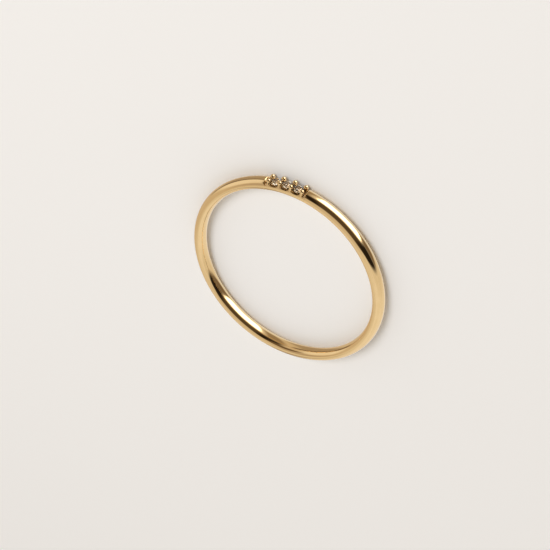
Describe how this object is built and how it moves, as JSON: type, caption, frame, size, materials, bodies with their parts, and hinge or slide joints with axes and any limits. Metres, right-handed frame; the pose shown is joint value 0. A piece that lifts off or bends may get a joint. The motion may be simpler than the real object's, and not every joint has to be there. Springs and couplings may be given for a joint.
{
  "type": "stackable ring",
  "caption": "Slim domed gold band with a short row of small round stones held by shared round prongs on its crown.",
  "frame": {"origin": "on the ring's axis, at the surface that the ring lies on: the flat of the band's lower side", "axes": "+Z along the ring's axis, from the lower side of the band to the upper side; the stones' tables face -Y"},
  "size_m": [0.0194, 0.0196, 0.0013],
  "materials": {
    "gold": "polished",
    "clear_stone": "polished"
  },
  "bodies": {
    "root": {"band_with_setting": "gold", "stone_1": "clear_stone", "stone_2": "clear_stone", "stone_3": "clear_stone"}
  },
  "joints": []
}
